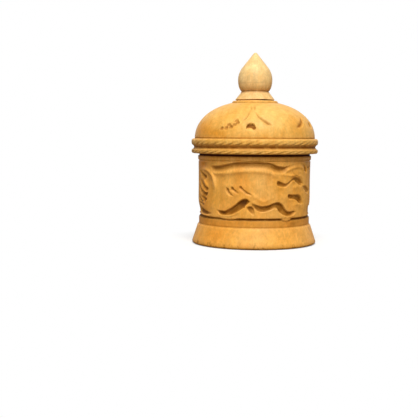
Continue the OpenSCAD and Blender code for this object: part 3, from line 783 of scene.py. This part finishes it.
def knob_tints(angles, outline, dark):
    """Painted shade in the neck and under the bud, with one growth line round it, and the darkest painted
    shade under the collar, deepest on one side, where the glue joint gapes. The bud's upper part is drawn
    paler all round, a painted highlight."""
    r, z = outline[:, 0], outline[:, 1]
    up = z - STEP_Z
    marks = (corner(up, NECK_Z, 0.6, 0.4) + corner(up, NECK_Z, 3.6, 0.4) * (up > NECK_Z)
             + corner(up, GROWTH_LINE_Z, 0.35, 0.18) + 0.13 * (up < NECK_Z))
    # Painted shade in the gap under the collar, strongest where the glue joint gapes
    gape_shade = 0.4 + 0.6 * np.exp(-(((np.degrees(angles) - 32 + 180) % 360 - 180) / 38) ** 2)
    seat = (up < COLLAR_GAP + 0.02) & (r > TENON_R + 1)
    dark = np.maximum(marks[:, None], seat[:, None] * gape_shade)
    # Painted highlight: the bud's upper part is drawn paler all round
    pale = soft_step(up, NECK_Z, NECK_Z + 5)
    return dark, np.zeros_like(dark) - 0.2 * pale[:, None]


# The colours of each wood, 0 to 255 in red, green and blue: pale, light, middle, warm and dark wood, and
# the brown its cuts are drawn with, for painted shade and a darker finish, and on the pot for stain
POT_WOOD = [
    (248, 194, 110), (241, 176, 80), (234, 163, 58), (228, 140, 30), (202, 128, 42), (146, 90, 4),
]
LID_WOOD = [
    (241, 197, 118), (236, 184, 94), (231, 170, 74), (224, 146, 32), (208, 142, 54), (150, 88, 4),
]
KNOB_WOOD = [
    (245, 218, 166), (241, 204, 136), (235, 187, 106), (226, 160, 60), (208, 148, 74), (140, 76, 10),
]
# The near black of the deepest painted shade, in the gaps, lines and deepest cuts
DEEP_SHADE_BROWN = (60, 10, 0)


def srgb(r, g, b):
    """A screen colour, 0 to 255, in the linear values that the shaders take."""
    return [((v / 255 + 0.055) / 1.055) ** 2.4 if v > 10 else v / 255 / 12.92 for v in (r, g, b)] + [1]


class Shader:
    """A short way to add and join the nodes of one material, or of the room."""

    def __init__(self, owner):
        owner.use_nodes = True
        self.tree = owner.node_tree
        self.tree.nodes.clear()

    def add(self, kind, inputs=None, **settings):
        made = self.tree.nodes.new("ShaderNode" + kind)
        for key, value in settings.items():
            setattr(made, key, value)
        for key, value in (inputs or {}).items():
            if isinstance(value, bpy.types.NodeSocket):
                self.tree.links.new(value, made.inputs[key])
            else:
                made.inputs[key].default_value = value
        return made

    def stretch(self, vector, scale, move=(0, 0, 0)):
        return self.add("Mapping", {"Vector": vector, "Scale": scale, "Location": move}).outputs[0]

    def noise(self, vector, scale, detail=3, roughness=0.55):
        return self.add("TexNoise", {
            "Vector": vector, "Scale": scale, "Detail": detail, "Roughness": roughness
        }).outputs[0]

    def ramp(self, value, low, high, start=0.0, stop=1.0):
        return self.add("MapRange", {
            "Value": value, "From Min": low, "From Max": high, "To Min": start, "To Max": stop
        }).outputs[0]

    def mix(self, share, a, b, blend="MIX"):
        made = self.add("Mix", data_type="RGBA", blend_type=blend)
        for key, value in ((0, share), (6, a), (7, b)):
            if isinstance(value, bpy.types.NodeSocket):
                self.tree.links.new(value, made.inputs[key])
            else:
                made.inputs[key].default_value = value
        return made.outputs[2]

    def math(self, kind, a, b):
        return self.add("Math", {0: a, 1: b}, operation=kind).outputs[0]


def wood(name, colours, pith, lathe, facets, stain_and_shade=0.0):
    """Waxed wood: faint growth rings round an off-centre pith, long fine fibres, warmer and paler
    patches, and cuts drawn brown with painted shade and a darker finish. Lathe lines run round the
    turned parts, knife marks cross the cuts, and spots of stain and a painted shade darken the lower
    edge of the outside."""
    material = bpy.data.materials.new(name)
    pale, light, middle, warm, dark, deep = [srgb(*colour) for colour in colours]
    s = Shader(material)
    place = s.add("TexCoord").outputs["Object"]
    grown = s.stretch(place, (1, 1, 0.08), pith)
    warp = s.noise(grown, 60, 2)
    sway = s.add("VectorMath", {0: warp, "Scale": 0.004}, operation="SCALE").outputs[0]
    rings = s.add("TexWave", {
        "Vector": s.add("VectorMath", {0: grown, 1: sway}).outputs[0], "Scale": 95, "Distortion": 1.2,
        "Detail": 2, "Detail Scale": 1.5
    }, wave_type="RINGS", rings_direction="Z").outputs[1]
    fibres = s.noise(s.stretch(place, (1, 1, 0.05)), 1300, 4, 0.62)
    threads = s.noise(s.stretch(place, (1, 1, 0.02)), 4200, 2, 0.5)
    clouds = s.noise(place, 60, 3, 0.55)
    patches = s.noise(s.stretch(place, (1, 1, 0.35), (0.3, 0.1, 0.2)), 150, 3, 0.6)
    pores = s.ramp(s.noise(s.stretch(place, (1, 1, 0.12)), 2600, 2, 0.5), 0.66, 0.76)
    cut = s.add("Attribute", attribute_name="crevice_shade").outputs["Fac"]
    warmth = s.add("Attribute", attribute_name="warmth").outputs["Fac"]

    tone = s.mix(s.ramp(fibres, 0.3, 0.7), middle, light)
    tone = s.mix(s.ramp(clouds, 0.4, 0.66, 0, 0.35), tone, pale)
    tone = s.mix(s.ramp(patches, 0.5, 0.74, 0, 0.3), tone, warm)
    tone = s.mix(s.ramp(rings, 0.35, 1, 0, 0.2), tone, dark)
    tone = s.mix(s.ramp(warmth, 0, 1, 0, 0.85), tone, warm)
    tone = s.mix(s.ramp(warmth, 0, -1, 0, 0.85), tone, pale)
    tone = s.mix(s.math("MULTIPLY", pores, 0.15), tone, dark)
    mottle = s.math("MULTIPLY", s.ramp(s.noise(place, 480, 3, 0.6), 0.3, 0.7, 0.88, 1.08),
                    s.ramp(s.noise(s.stretch(place, (1, 1, 0.6)), 1500, 2, 0.6), 0.3, 0.7, 0.9, 1.08))
    tone = s.mix(1.0, tone, mottle, "MULTIPLY")
    blush = s.noise(s.stretch(place, (1, 1, 0.5), (0.5, 0.2, 0.4)), 330, 3, 0.6)
    tone = s.mix(s.ramp(blush, 0.52, 0.72, 0, 0.28), tone, warm)
    if stain_and_shade:
        # Spots of stain low on the foot, and a darkening towards its lower edge, partly stain and partly
        # painted shade
        height = s.add("SeparateXYZ", {0: place}).outputs[2]
        spots = s.ramp(s.noise(s.stretch(place, (1, 1, 0.6)), 620, 2, 0.6), 0.56, 0.66)
        out = s.add("VectorMath", {0: s.stretch(place, (1, 1, 0))}, operation="LENGTH").outputs["Value"]
        edge = s.ramp(out, 0.0238, 0.0252, 0, stain_and_shade)
        low = s.math("MULTIPLY", spots, s.ramp(height, 0.0034, 0.0008))
        tone = s.mix(s.math("MULTIPLY", edge, low), tone, deep)
        tone = s.mix(s.math("MULTIPLY", edge, s.ramp(height, 0.0022, 0, 0, 0.75)), tone, deep)
    # Painted shade, partly a darker finish: cuts, lines and gaps drawn brown, the deepest near black
    uneven = s.ramp(s.noise(place, 420, 3, 0.6), 0.3, 0.6, 0.72, 1)
    grime_and_shade = s.math("MULTIPLY", s.ramp(cut, 0.04, 0.75), uneven)
    tone = s.mix(grime_and_shade, tone, deep)
    tone = s.mix(s.ramp(cut, 0.83, 1, 0, 0.9), tone, srgb(*DEEP_SHADE_BROWN))

    shine = s.ramp(fibres, 0.3, 0.75, 0.42, 0.56)
    shine = s.math("ADD", shine, s.math("MULTIPLY", cut, 0.35))

    rounds = s.noise(s.stretch(place, (0.02, 0.02, 1)), 2600, 3, 0.6)
    leaning = s.add("Mapping", {"Vector": place, "Rotation": (0.4, 0.3, 0.2), "Scale": (1, 1, 0.5)})
    knife = s.add("TexVoronoi", {
        "Vector": leaning.outputs[0], "Scale": 420, "Smoothness": 0.2
    }, feature="SMOOTH_F1").outputs[0]
    height = s.math("ADD", s.math("MULTIPLY", fibres, 0.45), s.math("MULTIPLY", threads, 0.2))
    height = s.math("SUBTRACT", height, s.math("MULTIPLY", pores, 0.2))
    height = s.math("ADD", height, s.math("MULTIPLY", rounds, lathe))
    height = s.math("ADD", height, s.math("MULTIPLY", knife, s.ramp(cut, 0, 0.6, facets, facets * 5)))
    bump = s.add("Bump", {"Height": height, "Strength": 0.6, "Distance": 0.00012}).outputs[0]

    surface = s.add("BsdfPrincipled", {
        "Base Color": tone, "Roughness": shine, "Specular IOR Level": 0.25, "Normal": bump
    })
    s.add("OutputMaterial", {"Surface": surface.outputs[0]})
    return material


def floor_material(near=0.029, far=0.05):
    """A floor that looks plain white, but for a soft shadow close round the foot."""
    material = bpy.data.materials.new("floor")
    s = Shader(material)
    place = s.add("TexCoord").outputs["Object"]
    away = s.add("VectorMath", {0: place}, operation="LENGTH").outputs["Value"]
    dull = s.add("BsdfDiffuse", {"Color": (0.2, 0.17, 0.14, 1)})
    pale = s.add("BsdfDiffuse", {"Color": (0.9, 0.9, 0.9, 1)})
    white = s.add("Emission", {"Color": (1, 1, 1, 1), "Strength": 1})
    clear = s.ramp(away, near, far, 0.3, 1)
    shown = s.add("MixShader", {0: clear, 1: pale.outputs[0], 2: white.outputs[0]})
    seen = s.add("LightPath").outputs["Is Camera Ray"]
    both = s.add("MixShader", {0: seen, 1: dull.outputs[0], 2: shown.outputs[0]})
    s.add("OutputMaterial", {"Surface": both.outputs[0]})
    return material


def build_pieces():
    pot = turned("pot_turned", pot_rows(), pot_shape, pot_tints)
    lid = turned("lid_turned", lid_rows(), lid_shape, lid_tints)
    knob = turned("knob_turned", knob_rows(), untouched, knob_tints)
    pot.data.materials.append(wood("pot_wood", POT_WOOD, (0.012, -0.03, 0), 0.15, 0.4, stain_and_shade=0.8))
    lid.data.materials.append(wood("lid_wood", LID_WOOD, (-0.018, 0.022, 0.01), 0.25, 0.2))
    knob.data.materials.append(wood("knob_wood", KNOB_WOOD, (0.004, 0.016, 0.02), 0.3, 0.2))
    for piece, node, body in ((pot, "pot", "pot"), (lid, "lid", "lid"), (knob, "knob", "lid")):
        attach(piece, body)
        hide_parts(node)


def build_floor():
    size = 3
    mesh = bpy.data.meshes.new("floor")
    corners = [(-size, -size, 0), (size, -size, 0), (size, size, 0), (-size, size, 0)]
    mesh.from_pydata(corners, [], [(0, 1, 2, 3)])
    floor = bpy.data.objects.new("floor", mesh)
    bpy.context.scene.collection.objects.link(floor)
    floor.data.materials.append(floor_material())


# The height in metres of the middle of the box, which the lamps look at
MIDDLE_Z = 0.04


def area_light(name, turn, climb, away, size, power, colour=(1, 1, 1)):
    """A soft square lamp that looks at the middle of the box from so many degrees round and up."""
    data = bpy.data.lights.new(name, "AREA")
    data.size = size
    data.energy = power
    data.color = colour
    lamp = bpy.data.objects.new(name, data)
    turn, climb = math.radians(turn), math.radians(climb)
    flat = away * math.cos(climb)
    lamp.location = (flat * math.sin(turn), -flat * math.cos(turn), MIDDLE_Z + away * math.sin(climb))
    lamp.rotation_euler = (math.pi / 2 - climb, 0, turn)
    bpy.context.scene.collection.objects.link(lamp)


def light_scene():
    """One lamp from above and a little to the right, a weak wide one in front, and a room that is bright
    behind and above, and dark below."""
    area_light("key", 6, 53, 1.1, 0.45, 11.0, (1, 0.985, 0.96))
    area_light("fill", -6, 12, 1.0, 1.3, 4.4)
    world = bpy.data.worlds.new("studio")
    bpy.context.scene.world = world
    s = Shader(world)
    way = s.add("SeparateXYZ", {0: s.add("TexCoord").outputs["Generated"]}).outputs
    above = s.ramp(way[2], -0.3, 0.9, 0.05, 0.52)
    behind = s.ramp(way[1], 0.1, 0.9)
    room = s.add("Background", {"Color": (1, 1, 1, 1), "Strength": s.math("MAXIMUM", above, behind)})
    white = s.add("Background", {"Color": (1, 1, 1, 1), "Strength": 1})
    seen = s.add("LightPath").outputs["Is Camera Ray"]
    both = s.add("MixShader", {0: seen, 1: room.outputs[0], 2: white.outputs[0]})
    s.add("OutputWorld", {0: both.outputs[0]})


# The camera, as the photograph's: the box stands right of the middle of a square picture
FOCAL_PIXELS = 828
PICTURE = 418
AXIS_X = 254.03
CAMERA_DISTANCE = 0.3516
CAMERA_HEIGHT = 0.0453
CAMERA_DOWN = 5.077
CAMERA_ROLL = 0.32
SENSOR = 36


def place_camera():
    data = bpy.data.cameras.new("camera")
    data.sensor_fit = "HORIZONTAL"
    data.sensor_width = SENSOR
    data.lens = SENSOR * FOCAL_PIXELS / PICTURE
    camera = bpy.data.objects.new("camera", data)
    yaw = math.atan((AXIS_X - PICTURE / 2) / FOCAL_PIXELS)
    aim = (Matrix.Rotation(yaw, 4, "Z") @ Matrix.Rotation(math.radians(90 - CAMERA_DOWN), 4, "X")
           @ Matrix.Rotation(math.radians(CAMERA_ROLL), 4, "Z"))
    camera.matrix_world = Matrix.Translation((0, -CAMERA_DISTANCE, CAMERA_HEIGHT)) @ aim
    bpy.context.scene.collection.objects.link(camera)
    bpy.context.scene.camera = camera


place_camera()
build_pieces()
build_floor()
light_scene()
bpy.context.scene.view_settings.view_transform = "Standard"
